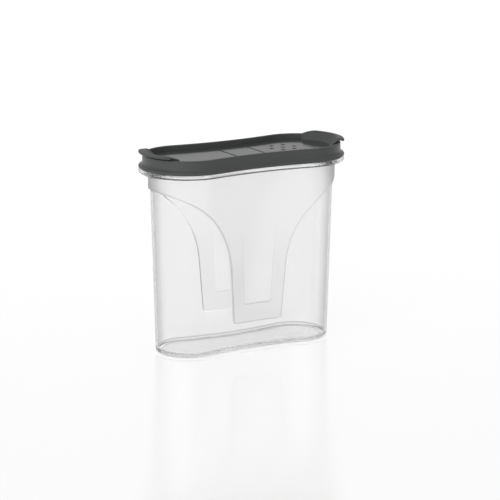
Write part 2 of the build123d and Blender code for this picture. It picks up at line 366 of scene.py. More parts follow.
class Shell:
    """Gathers grids and triangles, with their normals, into one mesh."""

    def __init__(self) -> None:
        """Start empty."""
        self.points: list[np.ndarray] = []
        self.normals: list[np.ndarray] = []
        self.marks: list[np.ndarray] = []
        self.faces: list[np.ndarray] = []
        self.count = 0

    def add(
        self, points: np.ndarray, normals: np.ndarray, faces: np.ndarray, marks: np.ndarray | None = None
    ) -> None:
        """Add faces with their own points.

        Args:
            points: shape (count, 3), in millimetres.
            normals: one for each point.
            faces: point numbers, three or four for each face.
            marks: frost and painted shade line for each point, kept as attributes named frost and line.
        """
        self.points.append(points)
        self.normals.append(normals)
        self.marks.append(np.zeros((len(points), 2)) if marks is None else marks)
        self.faces.append(faces + self.count)
        self.count += len(points)

    def add_grid(self, grid: np.ndarray, closed_rows: bool = False, lines: np.ndarray | None = None) -> None:
        """Add a grid whose columns close on themselves; the face's outside is on the left of rows by columns.

        The normal is the cross product of the differences along the columns and along the rows.

        Args:
            grid: shape (rows, columns, 3).
            closed_rows: whether the last row joins the first.
            lines: painted shade line mark of each row.
        """
        rows, columns = grid.shape[:2]
        along = np.roll(grid, -1, 1) - np.roll(grid, 1, 1)
        if closed_rows:
            across = np.roll(grid, -1, 0) - np.roll(grid, 1, 0)
        else:
            padded = np.concatenate([grid[:1], grid, grid[-1:]])
            across = padded[2:] - padded[:-2]
        normals = np.cross(along, across)
        normals /= np.linalg.norm(normals, axis=2, keepdims=True) + 1e-12
        number = np.arange(rows * columns).reshape(rows, columns)
        if closed_rows:
            number = np.concatenate([number, number[:1]])
        low, high = number[:-1], number[1:]
        quads = np.stack([low, np.roll(low, -1, 1), np.roll(high, -1, 1), high], axis=-1)
        marks = None if lines is None else np.repeat(np.outer(lines, (0.0, 1.0)), columns, axis=0)
        self.add(grid.reshape(-1, 3), normals.reshape(-1, 3), quads.reshape(-1, 4), marks)

    def add_flat(self, loops: list[np.ndarray], height: float, faces_up: bool) -> None:
        """Add a level face between an outer outline and the holes in it.

        Args:
            loops: the outer outline and then the holes, each of shape (count, 2).
            height: its height.
            faces_up: whether its outside is above.
        """
        points, triangles = net(loops)
        middles = points[triangles].mean(axis=1)
        kept = inside(middles, loops[0])
        for hole in loops[1:]:
            kept &= ~inside(middles, hole)
        triangles = triangles[kept]
        if not faces_up:
            triangles = triangles[:, ::-1]
        level = np.column_stack([points, np.full(len(points), height)])
        normals = np.tile((0.0, 0.0, 1.0 if faces_up else -1.0), (len(points), 1))
        self.add(level, normals, triangles)

    def add_along(self, loop: np.ndarray, profile: np.ndarray, closed_rows: bool = False) -> None:
        """Carry a profile along a closed anticlockwise outline, each point moved in and set at its height.

        Args:
            loop: the outline, shape (count, 2).
            profile: insets and heights, shape (rows, 2), with the outside on the left.
            closed_rows: whether the profile closes on itself.
        """
        rows = [
            np.column_stack([moved_in(loop, inset), np.full(len(loop), height)]) for inset, height in profile
        ]
        self.add_grid(np.stack(rows), closed_rows)

    def add_plate(self, loop: np.ndarray, low: float, high: float, rounding: float) -> None:
        """Add a level plate with rounded edges and flat faces.

        Args:
            loop: its outline, anticlockwise.
            low: height of its underside.
            high: height of its top.
            rounding: radius of its edges.
        """
        side = np.concatenate([fillet(0, low, -rounding, 90, 0), fillet(0, high, -rounding, 0, -90)])
        self.add_along(loop, side)
        self.add_flat([moved_in(loop, rounding)], high, True)
        self.add_flat([moved_in(loop, rounding)], low, False)

    def add_rod(self, axis: str, centre: tuple[float, float], radius: float, low: float, high: float) -> None:
        """Add a closed rod along Y or Z with chamfered ends.

        Args:
            axis: "Y" or "Z".
            centre: X and Z of a rod along Y, or X and Y of an upright one.
            radius: its radius.
            low: where it starts along its axis.
            high: where it ends.
        """
        chamfer = ROD_CHAMFER * radius
        loop = circle((0, 0), radius, ROD_STEPS)
        side = [[chamfer, low], [0, low + chamfer], [0, high - chamfer], [chamfer, high]]
        part = Shell()
        part.add_along(loop, np.array(side))
        part.add_flat([moved_in(loop, chamfer)], high, True)
        part.add_flat([moved_in(loop, chamfer)], low, False)
        if axis == "Y":
            self.absorb(part, (1, 2, 0), (centre[0], 0, centre[1]))
        else:
            self.absorb(part, (0, 1, 2), (*centre, 0))

    def absorb(self, other: "Shell", order: tuple[int, int, int], shift: tuple[float, float, float]) -> None:
        """Take in another shell's faces, with its axes turned in order and then shifted.

        Args:
            other: shell that is used up.
            order: which of its axes become X, Y and Z.
            shift: move in millimetres.
        """
        self.points += [points[:, order] + shift for points in other.points]
        self.normals += [normals[:, order] for normals in other.normals]
        self.marks += other.marks
        self.faces += [faces + self.count for faces in other.faces]
        self.count += other.count

    def to_object(self, name: str, exact_normals: bool = False, end: End = End.SPRINKLE) -> bpy.types.Object:
        """Merge points that coincide and put the mesh into the scene, in metres.

        Args:
            name: name of the object.
            exact_normals: whether the gathered normals are kept, for a clear piece.
            end: end of the jar that the shapes, worked out for +X, belong to.

        Returns:
            The new object.
        """
        points = np.concatenate(self.points) * (end.value, 1, 1)
        keys = np.round(points / MERGE_STEP).astype(np.int64)
        _, first, merged = np.unique(keys, axis=0, return_index=True, return_inverse=True)
        merged = merged.reshape(-1)
        corners = np.concatenate([faces[:, :: end.value].reshape(-1) for faces in self.faces])
        sides = np.concatenate([np.full(len(faces), faces.shape[1]) for faces in self.faces])
        mesh = bpy.data.meshes.new(name)
        mesh.vertices.add(len(first))
        mesh.vertices.foreach_set("co", (points[first] * MM).ravel())
        mesh.loops.add(len(corners))
        mesh.loops.foreach_set("vertex_index", merged[corners])
        mesh.polygons.add(len(sides))
        mesh.polygons.foreach_set("loop_start", np.concatenate([[0], np.cumsum(sides)[:-1]]))
        mesh.update(calc_edges=True)
        mesh.validate()
        mesh.shade_smooth()
        if exact_normals:
            marks = np.concatenate(self.marks)[first].astype(np.float32)
            for column, label in enumerate(("frost", "line")):
                values = np.ascontiguousarray(marks[:, column])
                mesh.attributes.new(label, "FLOAT", "POINT").data.foreach_set("value", values)
            mesh.normals_split_custom_set(np.concatenate(self.normals)[corners])
        return into_scene(name, mesh)


def into_scene(name: str, data: bpy.types.ID) -> bpy.types.Object:
    """Put a mesh, camera or lamp into the scene as an object of that name."""
    made = bpy.data.objects.new(name, data)
    bpy.context.scene.collection.objects.link(made)
    return made


def net(
    lines: list[np.ndarray], loose: np.ndarray | None = None, closed: bool = True
) -> tuple[np.ndarray, np.ndarray]:
    """Join points in a plane into triangles that keep the given lines as edges.

    Args:
        lines: outlines, each of shape (count, 2).
        loose: more points that no line joins.
        closed: whether each line closes on itself.

    Returns:
        The points, in the order given, and anticlockwise triangles over their whole hull.
    """
    points = np.concatenate(lines + ([] if loose is None else [loose]))
    edges = []
    start = 0
    for line in lines:
        number = np.arange(start, start + len(line))
        pairs = np.column_stack([number, np.roll(number, -1)])
        edges.append(pairs if closed else pairs[:-1])
        start += len(line)
    found = delaunay_2d_cdt([Vector(p) for p in points], np.concatenate(edges).tolist(), [], 0, NET_TOLERANCE)
    made = np.array([tuple(p) for p in found[0]])
    origin = np.array([ids[0] if ids else -1 for ids in found[3]])
    if (origin < 0).any() or len(made) != len(points):
        raise ValueError(f"lines of a net cross or touch: {len(points)} points became {len(made)}")
    return points, origin[np.array(found[2])]


def combine(base: bpy.types.Object, other: bpy.types.Object, way: Joining) -> bpy.types.Object:
    """Combine two closed shells into the first one and remove the second.

    Args:
        base: shell that keeps its name.
        other: shell that is used up.
        way: union, cut or common part.

    Returns:
        The base object with its new mesh.
    """
    step = base.modifiers.new("combine", "BOOLEAN")
    step.operation = way.value
    step.solver = "EXACT"
    step.object = other
    graph = bpy.context.evaluated_depsgraph_get()
    made = bpy.data.meshes.new_from_object(base.evaluated_get(graph))
    base.modifiers.clear()
    old = base.data
    base.data = made
    made.name = base.name
    bpy.data.meshes.remove(old)
    bpy.data.objects.remove(other)
    return base


def smooth(piece: bpy.types.Object) -> None:
    """Shade a moulded piece smooth, but for its sharp edges, with its flat faces kept flat.

    Args:
        piece: object to finish.
    """
    piece.data.shade_smooth()
    piece.data.set_sharp_from_angle(angle=SMOOTH_ANGLE)
    weights = piece.modifiers.new("flat_faces", "WEIGHTED_NORMAL")
    weights.keep_sharp = True
    weights.weight = FLAT_WEIGHT


@dataclass(frozen=True)
class RimSizes:
    """Outline of the lid's rim and the offsets of what follows it, in millimetres."""

    half_length: float = 58.4
    lobe_radius: float = 23.9
    half_waist: float = 21.0

    def outline(self, lobe_steps: int = 48, waist_steps: int = 30) -> LobedOutline:
        """Give the rim's outline."""
        return LobedOutline(self.half_length, self.lobe_radius, self.half_waist, lobe_steps, waist_steps)


@dataclass
class Jar:
    """Clear jar with a raised T on its front and back, a flange and a neck."""

    rim: RimSizes
    foot_half_length: float = 51.6
    foot_lobe_radius: float = 18.0
    foot_half_waist: float = 14.8
    draft: float = math.tan(math.radians(1.6))
    wall: float = 1.3
    floor: float = 2.2
    floor_round: float = 0.9
    foot_round: float = 1.6
    foot_ring: float = 3.5
    foot_recess: float = 0.6
    edge_round: float = 0.2
    flange_bottom: float = 99.1
    flange_top: float = 101.3
    flange_outset: float = 2.1
    flange_round: float = 0.8
    shoulder: float = 99.4
    neck_top: float = 103.5
    neck_outset: float = -2.7
    neck_wall: float = 1.5
    neck_round: float = 0.35
    panel_step: float = 1.0
    panel_round: float = 0.35
    panel_slope: float = 52.0
    shade_share: float = 0.55
    stem_bottom: float = 15.4
    stem_top: float = 46.0
    stem_half_bottom: float = 15.1
    stem_half_top: float = 17.3
    stem_corner: float = 2.2
    shoulder_half: float = 38.0
    shoulder_height: float = 82.0
    arm_half: float = 57.0
    arm_height: float = 91.0
    inlay_depth: float = 0.4
    inlay_round: float = 0.16
    inlay_slope: float = 65.0
    inlay_bottom: float = 25.9
    inlay_top: float = 87.0
    inlay_half_bottom: float = 7.9
    inlay_half_top: float = 11.0
    inlay_corner: float = 1.0
    inlay_fade_start: float = 46.0
    inlay_fade_end: float = 78.0
    edge_step: float = 0.9
    row_step: float = 5.0
    clear_of_edge: float = 1.3
    # Painted shade lines: how far one runs past its step, and its strength at the inlay, flange, floor and
    # foot
    shade_line_width: float = 0.3
    inlay_side_shade_line: float = 0.35
    inlay_full_shade_line: float = 1.2
    flange_shade_line: float = 0.1
    floor_shade_line: float = 2.0
    foot_shade_line: float = 1.0
    below_flange: float = 0.05
    above_flange: float = 0.1
    level_margin: float = 0.01
    outline: LobedOutline = field(init=False)

    def __post_init__(self) -> None:
        """Work out the foot's outline."""
        self.outline = LobedOutline(self.foot_half_length, self.foot_lobe_radius, self.foot_half_waist)

    def step_profile(self, height: float, radius: float, slope: float) -> np.ndarray:
        """Work out the section of a step: an arc, a steep straight and an arc, from low to high.

        Args:
            height: height of the step.
            radius: radius of both arcs.
            slope: steepness of the straight in degrees.

        Returns:
            Rows of distance from the step's middle, rise, tilt of the normal in radians and the mark of its
            painted shade line.
            The last row lies on the flat beyond the step, where the painted shade line ends.
        """
        tilt = np.radians(np.linspace(0, slope, 4))
        run = radius * np.sin(tilt)
        rise = radius * (1 - np.cos(tilt))
        half_run = run[-1] + (height / 2 - rise[-1]) / math.tan(tilt[-1])
        low = np.column_stack([run - half_run, rise, tilt, np.zeros(4)])
        high = np.column_stack([half_run - run, height - rise, tilt, np.ones(4)])
        return np.concatenate([low, high[::-1], [[half_run + self.shade_line_width, height, 0, 0]]])

    def panel_edge(self) -> np.ndarray:
        """Work out the T's edge as places from the +X tip and heights, down to the stem's middle."""
        lean = np.array([self.stem_half_top - self.stem_half_bottom, self.stem_top - self.stem_bottom])
        lean /= np.linalg.norm(lean)
        stem_top = np.array([self.stem_half_top, self.stem_top])
        shoulder_end = np.array([self.shoulder_half, self.shoulder_height])
        shoulder = tangent_arc(stem_top, lean, shoulder_end, 48)
        heading = 2 * (shoulder_end - stem_top) @ lean * (shoulder_end - stem_top)
        heading = heading / ((shoulder_end - stem_top) @ (shoulder_end - stem_top)) - lean
        arm = tangent_arc(shoulder_end, heading, np.array([self.arm_half, self.arm_height]), 200)
        angle = np.linspace(0, math.pi / 2, 60)
        height = np.full(len(angle), self.arm_height)
        for _ in range(4):
            radius = self.outline.lobe_radius + self.outset_at(height, self.panel_step / 2)
            across = self.outline.lobe_centre + radius * np.cos(angle)
            height = np.interp(across, arm[:, 0], arm[:, 1])
        on_arm = across > self.shoulder_half
        arm_part = np.column_stack([across, height])[on_arm]
        corners = np.array([stem_top, [self.stem_half_bottom, self.stem_bottom], [0.0, self.stem_bottom]])
        low = rounded_corners(corners, [0.0, self.stem_corner, 0.0], 8)
        path = np.concatenate([arm_part, shoulder[::-1], low[1:]])
        return self.spread(path, self.panel_step / 2)

    def inlay_edge(self) -> np.ndarray:
        """Work out the inlay's edge as places and heights, from its bottom middle round to its top middle."""
        corners = np.array(
            [
                [0.0, self.inlay_bottom],
                [self.inlay_half_bottom, self.inlay_bottom],
                [self.inlay_half_top, self.inlay_top],
                [0.0, self.inlay_top],
            ]
        )
        path = rounded_corners(corners, [0.0, self.inlay_corner, self.inlay_corner, 0.0], 6)
        return self.spread(path, self.panel_step - self.inlay_depth / 2)

    def inlay_share(self, height: np.ndarray) -> np.ndarray:
        """Give the share of the inlay's depth at a height: full below, and run out to none above."""
        return np.clip((self.inlay_fade_end - height) / (self.inlay_fade_end - self.inlay_fade_start), 0, 1)

    def outset_at(self, height: np.ndarray, relief: float | np.ndarray) -> np.ndarray:
        """Give the wall's outset from the foot's outline: its draft times the height, plus the relief."""
        return height * self.draft + relief

    def spread(self, path: np.ndarray, relief: float) -> np.ndarray:
        """Turn a path in X and Z on the wall into evenly spaced places along the outline and heights.

        Args:
            path: X and Z of its points.
            relief: how far the wall stands out there.

        Returns:
            Places from the +X tip and heights.
        """
        place = self.outline.place_of(path[:, 0], self.outset_at(path[:, 1], relief))
        flat = np.column_stack([place, path[:, 1]])
        run = np.concatenate([[0], np.cumsum(np.linalg.norm(np.diff(flat, axis=0), axis=1))])
        even = np.linspace(0, run[-1], int(run[-1] / self.edge_step) + 1)
        # Points where the path turns are kept, so that its corners stay round
        turns = run[1:-1][np.diff(run)[:-1] < self.edge_step]
        mixed = np.unique(np.round(np.concatenate([even, turns]), 6))
        kept = np.concatenate([[True], np.diff(mixed) > self.edge_step / 4])
        kept[-1] = True
        if mixed[-1] - mixed[kept][-2] < self.edge_step / 4:
            kept[np.flatnonzero(kept)[-2]] = False
        mixed = mixed[kept]
        return np.column_stack([np.interp(mixed, run, flat[:, 0]), np.interp(mixed, run, flat[:, 1])])

    def wall_points(self, place: np.ndarray, height: np.ndarray, relief: np.ndarray) -> np.ndarray:
        """Map places, heights and reliefs onto the wall: the foot's outline moved out along its normal."""
        points, normals = self.outline.at(place)
        flat = points + self.outset_at(height, relief)[:, None] * normals
        return np.column_stack([flat, height])

    def wall_normals(self, place: np.ndarray, tilt: np.ndarray, side: np.ndarray) -> np.ndarray:
        """Give the wall's normals, tilted by an angle away from the raised side of a step.

        Args:
            place: lengths from the +X tip.
            tilt: angles in radians.
            side: unit direction to the raised side, as place and height.

        Returns:
            Unit normals, shape (count, 3).
        """
        _, out = self.outline.at(place)
        level = np.column_stack([out, np.full(len(out), -self.draft)])
        level /= np.linalg.norm(level, axis=1, keepdims=True)
        onward = np.column_stack([-out[:, 1], out[:, 0], np.zeros(len(out))])
        upward = np.cross(level, onward)
        upward *= np.sign(upward[:, 2:])
        away = -side[:, :1] * onward - side[:, 1:] * upward
        return np.cos(tilt)[:, None] * level + np.sin(tilt)[:, None] * away

    def step_rows(self, edge: np.ndarray, profile: np.ndarray, low: float) -> list[np.ndarray]:
        """Lay the rows of a step beside its edge, square to it.

        Args:
            edge: places and heights along the step's middle, with the raised side on the left.
            profile: distance, rise, tilt and mark of each row.
            low: relief on the low side.

        Returns:
            For each row, columns of place, height, relief, tilt, mark and the raised side's direction.
        """
        heading = np.gradient(edge, axis=0)
        heading[[0, -1], 1] = 0
        heading /= np.linalg.norm(heading, axis=1, keepdims=True)
        left = np.column_stack([-heading[:, 1], heading[:, 0]])
        rows = []
        for distance, rise, tilt, mark in profile:
            spot = edge + distance * left
            ones = np.ones((len(edge), 1))
            rows.append(np.column_stack([spot, (low + rise) * ones, tilt * ones, mark * ones, left]))
        return rows

    def outer_wall(self, shell: Shell, wall_start: float) -> None:
        """Add the outer wall with its raised T, as a net that keeps the rows of each step.

        Args:
            shell: shell that takes it.
            wall_start: height at which the rounding of the foot ends.
        """
        panel = self.step_profile(self.panel_step, self.panel_round, self.panel_slope)
        inlay = self.step_profile(self.inlay_depth, self.inlay_round, self.inlay_slope)
        edge = self.panel_edge()
        hollow = self.inlay_edge()
        rows = self.step_rows(edge, panel, 0.0)
        for row in self.step_rows(hollow, inlay, self.panel_step - self.inlay_depth):
            share = self.inlay_share(row[:, 1])
            row[:, 2] = self.panel_step - (self.panel_step - row[:, 2]) * share
            row[:, 3:5] *= share[:, None]
            # The inlay's painted shade line is full along its bottom and weaker up its sides
            low_part = row[:, 1] < self.inlay_bottom + self.inlay_full_shade_line
            row[:, 4] *= np.where(low_part, 1.0, self.inlay_side_shade_line)
            rows.append(row)
        run = self.outline.quarter_run
        for row in rows:
            row[0, 0] = 0.0 if row[0, 0] < 1 else run
            row[-1, 0] = run
        levels = np.linspace(wall_start, self.flange_bottom, int(self.flange_bottom / self.row_step) + 1)
        columns = self.outline.quarter_places
        loose = np.stack(np.meshgrid(columns, levels, indexing="ij"), axis=-1).reshape(-1, 2)
        on_hull = (loose[:, 1] == levels[0]) | (loose[:, 1] == levels[-1])
        steps = np.concatenate([row[:, :2] for row in rows])
        gap = np.linalg.norm(loose[:, None] - steps[None], axis=2).min(axis=1)
        loose = loose[on_hull | (gap > self.clear_of_edge)]
        raised_part = np.concatenate([edge, [[run, self.flange_bottom + 1], [0, self.flange_bottom + 1]]])
        # A place on the quarter's end lines counts with the part beside it
        nudged = loose + np.where(loose[:, :1] > run / 2, -1e-3, 1e-3) * (1, 0)
        relief = np.where(inside(nudged, raised_part), self.panel_step, 0.0)
        closed = np.concatenate([hollow, [[run + 1, self.inlay_top], [run + 1, self.inlay_bottom]]])
        sunk = self.panel_step - self.inlay_depth * self.inlay_share(loose[:, 1])
        relief = np.where(inside(nudged, closed), sunk, relief)
        places, triangles = net([row[:, :2] for row in rows], loose, closed=False)
        step_data = np.concatenate(rows)
        reliefs = np.concatenate([step_data[:, 2], relief])
        tilts = np.concatenate([step_data[:, 3] * self.shade_share, np.zeros(len(loose))])
        lines = np.concatenate([step_data[:, 4], np.zeros(len(loose))])
        sides = np.concatenate([step_data[:, 5:], np.zeros((len(loose), 2))])
        points = self.wall_points(places[:, 0], places[:, 1], reliefs)
        normals = self.wall_normals(places[:, 0], tilts, sides)
        marks = np.column_stack([reliefs / self.panel_step, lines])
        for x_side, y_side in ((1, 1), (-1, 1), (-1, -1), (1, -1)):
            turned = triangles if x_side * y_side > 0 else triangles[:, ::-1]
            shell.add(points * (x_side, y_side, 1), normals * (x_side, y_side, 1), turned, marks)

    def build(self) -> bpy.types.Object:
        """Build the jar as one closed shell, outer wall, flange, neck, inner wall and foot."""
        shell = Shell()
        rim = self.rim.outline()
        lean = math.degrees(math.atan(self.draft))
        foot_middle = self.foot_round * (self.draft - 1 / math.cos(math.atan(self.draft)))
        foot_arc = quarter_round((foot_middle, self.foot_round), self.foot_round, -lean, -90, 8)
        self.outer_wall(shell, foot_arc[0, 1])
        # Outer surfaces above the wall: under the flange, round it, and up the neck
        wall_top = self.outset_at(self.flange_bottom, self.panel_step)
        out, bottom, top, corner = self.flange_outset, self.flange_bottom, self.flange_top, self.flange_round
        fine, bend = self.edge_round, self.neck_round
        neck_out = self.neck_outset
        neck_in = self.neck_outset - self.neck_wall
        flange = np.concatenate(
            [
                fillet(out, bottom, corner, -90, 0, 6),
                fillet(out, top, corner, 0, 90, 6),
                fillet(neck_out, top, fine, -90, -180, 3),
                fillet(neck_out, self.neck_top, bend, 0, 90),
                fillet(neck_in, self.neck_top, bend, 90, 180),
                np.array([[neck_in, self.shoulder]]),
            ]
        )
        inner_low = self.outset_at(self.floor, -self.wall)
        floor_arc = fillet(inner_low, self.floor, self.floor_round, 0, -90, 6)
        down = np.linspace(self.shoulder, floor_arc[0, 1], 9)[:-1]
        inner = np.concatenate([np.column_stack([self.outset_at(down, -self.wall), down]), floor_arc])
        grid = np.concatenate(
            [
                self.outline.carry(np.array([[wall_top, self.flange_bottom]])),
                rim.carry(flange),
                self.outline.carry(inner),
            ]
        )
        # Painted shade lines along the flange's lower edge and, seen from both sides, along the floor's edge
        lines = np.zeros(len(grid))
        lines[1:6] = self.flange_shade_line
        lines[-5:-2] = self.floor_shade_line
        shell.add_grid(grid, lines=lines)
        shell.add_flat([self.outline.loop(floor_arc[-1, 0])], self.floor, True)
        # The foot: its rounding, the ring that it stands on and the shallow recess
        ring = -self.foot_ring
        foot = np.concatenate(
            [
                foot_arc,
                fillet(ring, 0, fine, -90, -180, 3),
                fillet(ring, self.foot_recess, fine, 0, 90, 3),
            ]
        )
        # A painted shade line along the lower part of the foot's rounding
        lines = np.zeros(len(foot))
        lines[len(foot_arc) - 5 : len(foot_arc)] = self.foot_shade_line
        shell.add_grid(self.outline.carry(foot[::-1]), lines=lines[::-1])
        shell.add_flat([self.outline.loop(foot[-1, 0])], self.foot_recess, False)
        return shell.to_object("clear_jar", exact_normals=True)

    def pale_spans(self) -> list[tuple[float, float]]:
        """Give the heights between which faces get lighter painted edge shade, more roughness and almost no
        refraction: the flange and the level floor faces.
        """
        flange = (self.flange_bottom - self.below_flange, self.flange_top + self.above_flange)
        level = (self.foot_recess, self.floor)
        return [flange, *[(height - self.level_margin, height + self.level_margin) for height in level]]


def lobe_part(outline: LobedOutline, outset: float, start: float) -> np.ndarray:
    """Give the stretch of an outline on the +X side of a line square to X, anticlockwise.

    Args:
        outline: the whole outline.
        outset: how far it is moved outwards.
        start: X of the line.

    Returns:
        Points from the line on the -Y side round the tip to the line on the +Y side.
    """
    loop = np.roll(outline.loop(outset), outline.waist_steps, axis=0)
    half = loop[: len(loop) // 2 + 1]
    cut = np.interp(start, half[: outline.waist_steps + 4, 0], half[: outline.waist_steps + 4, 1])
    kept = half[half[:, 0] > start + CUT_CLEAR]
    return np.concatenate([[[start, cut]], kept, [[start, -cut]]])


def far_side(outline: LobedOutline, outset: float, reach: float) -> np.ndarray:
    """Give the +Y side of an outline, from +X to -X.

    Args:
        outline: the whole outline.
        outset: how far it is moved outwards.
        reach: how far from the middle its points may lie along X.

    Returns:
        Points of shape (count, 2).
    """
    loop = outline.loop(outset)
    kept = loop[(np.abs(loop[:, 0]) < reach) & (loop[:, 1] > 0)]
    return kept[np.argsort(-kept[:, 0])]


@dataclass(frozen=True)
class HingeSizes:
    """Where the flaps' hinges are and how large their parts are, in millimetres."""

    x: float = 10.6
    z: float = 105.2
    barrel_radius: float = 1.3
    barrel_half: float = 14.6
    stub_radius: float = 0.75
    stub_end: float = 18.2
    slot_radius: float = 0.8
    slot_end: float = 18.5
    trough_radius: float = 1.849
    trough_half: float = 14.9


@dataclass(frozen=True)
class SprinkleSizes:
    """The sprinkle holes, one in the middle of a ring of others, in millimetres."""

    middle: float = 25.6
    ring: float = 7.1
    count: int = 6

    def centres(self) -> np.ndarray:
        """Give the middles of all the holes."""
        around = circle((0, 0), self.ring, self.count)
        return np.concatenate([[[0.0, 0.0]], around]) + (self.middle, 0)


@dataclass
class MouthSizes:
    """The pour mouth, worked out for +X, in millimetres."""

    rim: RimSizes
    outset: float = -8.5
    start: float = 14.5
    corner: float = 3.0
    corner_clear: float = 1.4

    def loop(self, inset: float) -> np.ndarray:
        """Give the mouth's outline moved inwards, with its two corners rounded."""
        edge = lobe_part(self.rim.outline(*COARSE_STEPS), self.outset - inset, self.start + inset)
        radius = self.corner - inset
        reach = edge[:, 0] > edge[0, 0] + self.corner_clear * radius
        reach[[0, -1]] = True
        return rounded_corners(edge[reach], [radius, *[0.0] * (reach.sum() - 2), radius], 8)


@dataclass
class LidFrame:
    """The lid's flared wall, its deck with the mouth and the sprinkle holes, and the seal under it."""

    rim: RimSizes
    hinge: HingeSizes
    mouth: MouthSizes
    sprinkle: SprinkleSizes
    bottom: float = 101.4
    top: float = 109.1
    wall: float = 1.6
    rim_round: float = 0.5
    flare_top: float = 105.5
    lip_outset: float = 2.1
    lip_radius: float = 1.0
    skirt_outset: float = -2.4
    deck_top: float = 105.0
    deck_bottom: float = 103.8
    seal_outset: float = -4.5
    seal_wall: float = 1.2
    seal_bottom: float = 100.1
    beam_half: float = 13.2
    beam_bottom: float = 102.4
    beam_overlap: float = 0.5
    beam_clear: float = 0.3
    edge_round: float = 0.2
    hole_radius: float = 1.5
    peg_radius: float = 2.05
    peg_offset: float = 9.0
    peg_bottom: float = 103.3

    def section(self) -> np.ndarray:
        """Work out the section from the deck's underside round the seal, lip and rim to the deck's top.

        Arcs join each pair of faces. The flare is a hollow arc that touches the straight wall at its
        top and the lip's round outside.

        Returns:
            Outsets and heights, with the outside on the right.
        """
        fine = self.edge_round
        seal_in = self.seal_outset - self.seal_wall
        lip_middle = np.array([self.lip_outset - self.lip_radius, self.bottom + self.lip_radius])
        rise = self.flare_top - lip_middle[1]
        flare = (rise**2 + lip_middle[0] ** 2 - self.lip_radius**2) / (2 * self.lip_outset)
        joint = math.degrees(math.atan2(rise, flare - lip_middle[0]))
        rim = self.rim_round
        return np.concatenate(
            [
                fillet(seal_in, self.deck_bottom, fine, 90, 0),
                fillet(seal_in, self.seal_bottom, fine, 180, 270),
                fillet(self.seal_outset, self.seal_bottom, fine, 270, 360),
                fillet(self.seal_outset, self.deck_bottom, fine, 180, 90),
                fillet(self.skirt_outset, self.deck_bottom, fine, 90, 0),
                fillet(self.skirt_outset, self.bottom, fine, 180, 270),
                quarter_round(tuple(lip_middle), self.lip_radius, -90, joint, 14),
                quarter_round((flare, self.flare_top), flare, joint + 180, 180, 10)[1:],
                fillet(0, self.top, rim, 0, 90, 5),
                fillet(-self.wall, self.top, rim, 90, 180, 5),
                fillet(-self.wall, self.deck_top, fine, 0, -90),
            ]
        )

    def build(self) -> bpy.types.Object:
        """Build the frame: the swept section and the deck, joined to the beam and cut for the hinges."""
        shell = Shell()
        outline = self.rim.outline(*FINE_STEPS)
        section = self.section()
        shell.add_grid(outline.carry(section))
        mouth = self.mouth.loop(0)[::-1] * (-1, 1)
        holes = [mouth, *[circle(tuple(middle), self.hole_radius) for middle in self.sprinkle.centres()]]
        fine = self.edge_round
        top_edge = fillet(-fine, self.deck_top, fine, 90, 180)
        down = np.concatenate([top_edge, fillet(-fine, self.deck_bottom, fine, 180, 270)])
        for hole in holes:
            shell.add_along(hole, down)
        shell.add_flat([outline.loop(section[-1, 0]), *holes], self.deck_top, True)
        shell.add_flat([outline.loop(section[0, 0]), *holes], self.deck_bottom, False)
        frame = shell.to_object("lid_frame_moulding")
        beam = Shell()
        seal_middle = self.seal_outset - self.seal_wall / 2
        upper = far_side(self.rim.outline(*COARSE_STEPS), seal_middle, self.beam_half - self.beam_clear)
        ends = np.array([[self.beam_half, upper[0, 1]], [-self.beam_half, upper[-1, 1]]])
        half_loop = np.concatenate([ends[:1], upper, ends[1:]])
        loop = np.concatenate([half_loop, -half_loop])
        beam.add_plate(loop, self.beam_bottom, self.deck_bottom + self.beam_overlap, fine)
        combine(frame, beam.to_object("beam"), Joining.UNION)
        cuts = Shell()
        for side in (-1, 1):
            middle = (side * self.hinge.x, self.hinge.z)
            reach = self.hinge.trough_half
            cuts.add_rod("Y", middle, self.hinge.trough_radius, -reach, reach)
        combine(frame, cuts.to_object("troughs"), Joining.CUT)
        cuts = Shell()
        for side in (-1, 1):
            middle = (side * self.hinge.x, self.hinge.z)
            cuts.add_rod("Y", middle, self.hinge.slot_radius, -self.hinge.slot_end, self.hinge.slot_end)
            cuts.add_rod("Z", (0, side * self.peg_offset), self.peg_radius, self.peg_bottom, self.top)
        combine(frame, cuts.to_object("slots"), Joining.CUT)
        smooth(frame)
        return frame


@dataclass
class HingeBridge:
    """Strip between the flaps, with an ear over each hinge stub and two press-in pegs."""

    rim: RimSizes
    hinge: HingeSizes
    half_width: float = 8.5
    ear_start: float = 14.9
    ear_end: float = 12.1
    low: float = 105.0
    high: float = 106.5
    rim_outset: float = -1.7
    edge_round: float = 0.25
    corner: float = 0.4
    peg_radius: float = 2.0
    peg_offset: float = 9.0
    peg_bottom: float = 103.5

    def build(self) -> bpy.types.Object:
        """Build the bridge as a rounded plate with its pegs, cut by the hinge slots."""
        outline = self.rim.outline(*COARSE_STEPS)
        upper = far_side(outline, self.rim_outset, self.ear_end - CUT_CLEAR)
        full = far_side(outline, self.rim_outset, self.rim.half_length)[::-1]
        reach = np.interp(self.ear_end, full[:, 0], full[:, 1])
        half_loop = np.concatenate(
            [
                [[self.half_width, -self.ear_start], [self.half_width, self.ear_start]],
                [[self.ear_end, self.ear_start], [self.ear_end, reach]],
                upper,
                [[-self.ear_end, reach], [-self.ear_end, self.ear_start]],
            ]
        )
        loop = np.concatenate([half_loop, -half_loop])
        bend = self.corner
        radii = [bend, bend, bend, bend, *[0.0] * len(upper), bend, bend]
        shell = Shell()
        shell.add_plate(rounded_corners(loop, radii * 2), self.low, self.high, self.edge_round)
        bridge = shell.to_object("hinge_bridge_moulding")
        pegs = Shell()
        cuts = Shell()
        for side in (-1, 1):
            middle = (self.low + self.high) / 2
            pegs.add_rod("Z", (0, side * self.peg_offset), self.peg_radius, self.peg_bottom, middle)
            spot = (side * self.hinge.x, self.hinge.z)
            cuts.add_rod("Y", spot, self.hinge.slot_radius, -self.hinge.slot_end, self.hinge.slot_end)
        combine(bridge, pegs.to_object("pegs"), Joining.UNION)
        combine(bridge, cuts.to_object("stub_slots"), Joining.CUT)
        smooth(bridge)
        return bridge


